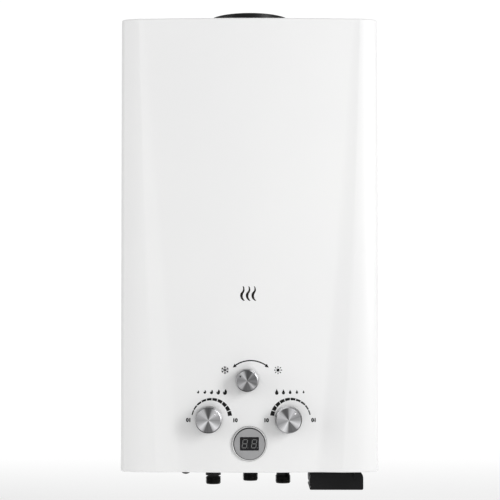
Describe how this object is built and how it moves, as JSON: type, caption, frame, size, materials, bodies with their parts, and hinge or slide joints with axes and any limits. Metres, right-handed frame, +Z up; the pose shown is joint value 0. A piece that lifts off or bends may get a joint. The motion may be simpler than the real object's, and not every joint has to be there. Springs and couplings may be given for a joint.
{
  "type": "instant gas water heater",
  "caption": "Wall-hung instantaneous gas water heater: pressed white cover, flue collar, turning knobs, round display, bottom pipe ends and a drop-down battery box.",
  "frame": {"origin": "middle of the back plate's wall face, level with the middle of the casing", "axes": "+X to the viewer's right, +Y into the wall, +Z up; the front looks along -Y"},
  "size_m": [0.344, 0.169, 0.654],
  "materials": {
    "cover_paint": "satin white enamel",
    "plated_steel": "zinc plated sheet",
    "black_enamel": "satin black enamel",
    "hood_steel": "aluminised sheet",
    "copper": "bare copper",
    "brass": "machined brass",
    "blackened_brass": "blackened brass",
    "ceramic": "glazed ceramic",
    "cast_alloy": "die cast, blasted",
    "pipe_alloy": "drawn tube",
    "black_plastic": "fine grained moulding",
    "turned_aluminium": "spun face",
    "diaphragm_rubber": "moulded rubber",
    "mica": "mica sheet",
    "display_grey": "printed face plate",
    "display_glass": "dark tinted window",
    "cell_wrap": "plain cell sleeve"
  },
  "bodies": {
    "casing": {"back_plate": "plated_steel", "base_plate": "plated_steel", "battery_contacts": "plated_steel", "battery_holder": "black_plastic", "burner_blades": "hood_steel", "burner_frame": "hood_steel", "burner_manifold": "plated_steel", "carriers": "plated_steel", "cold_feed_pipe": "copper", "cold_inlet": "blackened_brass", "combustion_chamber": "copper", "control_box": "black_plastic", "control_box_lid": "black_plastic", "core_tubes": "copper", "cover_screws": "plated_steel", "diaphragm": "diaphragm_rubber", "display_bezel": "cover_paint", "display_disc": "display_grey", "display_module": "black_plastic", "display_window": "display_glass", "draft_hood": "hood_steel", "drain_plug": "blackened_brass", "electrode_brackets": "plated_steel", "flame_sensor": "ceramic", "flame_window": "mica", "flue_collar": "black_enamel", "flue_flange": "black_enamel", "front_cover": "cover_paint", "gas_feed_pipe": "pipe_alloy", "gas_inlet": "blackened_brass", "gas_nozzles": "brass", "gas_valve_body": "cast_alloy", "heat_fins": "copper", "hot_outlet": "blackened_brass", "hot_outlet_pipe": "copper", "igniter_electrode": "ceramic", "microswitch": "black_plastic", "return_headers": "copper", "season_valve": "brass", "solenoid_valve": "black_plastic", "spill_sensor": "black_plastic", "switch_bracket": "plated_steel", "thermal_cutout": "black_plastic", "top_plate": "plated_steel", "water_valve_body": "cast_alloy", "water_valve_lid": "cast_alloy"},
    "gas_knob": {"gas_knob": "black_plastic", "gas_knob_cap": "turned_aluminium"},
    "water_knob": {"water_knob": "black_plastic", "water_knob_cap": "turned_aluminium"},
    "season_knob": {"season_knob": "black_plastic", "season_knob_cap": "turned_aluminium"},
    "tray": {"battery_tray": "black_plastic", "battery_cells": "cell_wrap"},
    "push_rod": {"push_rod": "brass"},
    "switch_lever": {"switch_lever": "black_plastic"}
  },
  "joints": [
    {"name": "gas_knob_turn", "type": "hinge", "parent": "casing", "child": "gas_knob", "pos_m": [-0.0532, -0.155, -0.2293], "axis": [0, 1, 0], "range_deg": [-133, 30]},
    {"name": "water_knob_turn", "type": "hinge", "parent": "casing", "child": "water_knob", "pos_m": [0.051, -0.155, -0.2293], "axis": [0, 1, 0], "range_deg": [-128, 36]},
    {"name": "season_knob_turn", "type": "hinge", "parent": "casing", "child": "season_knob", "pos_m": [-0.0028, -0.155, -0.1782], "axis": [0, 1, 0], "range_deg": [0, 110]},
    {"name": "tray_hinge", "type": "hinge", "parent": "casing", "child": "tray", "pos_m": [0.1444, -0.07, -0.3085], "axis": [0, -1, 0], "range_deg": [0, 80]},
    {"name": "push_rod_slide", "type": "slide", "parent": "casing", "child": "push_rod", "axis": [-1, 0, 0], "range_m": [0, 0.003], "stiffness_N_per_m": 400},
    {"name": "switch_lever_turn", "type": "hinge", "parent": "casing", "child": "switch_lever", "pos_m": [-0.0071, -0.095, -0.2153], "axis": [0, 1, 0], "range_deg": [0, 19]}
  ],
  "couplings": [
    {"joint": "switch_lever_turn", "follows": "push_rod_slide", "rad_per_m": 110.5}
  ]
}
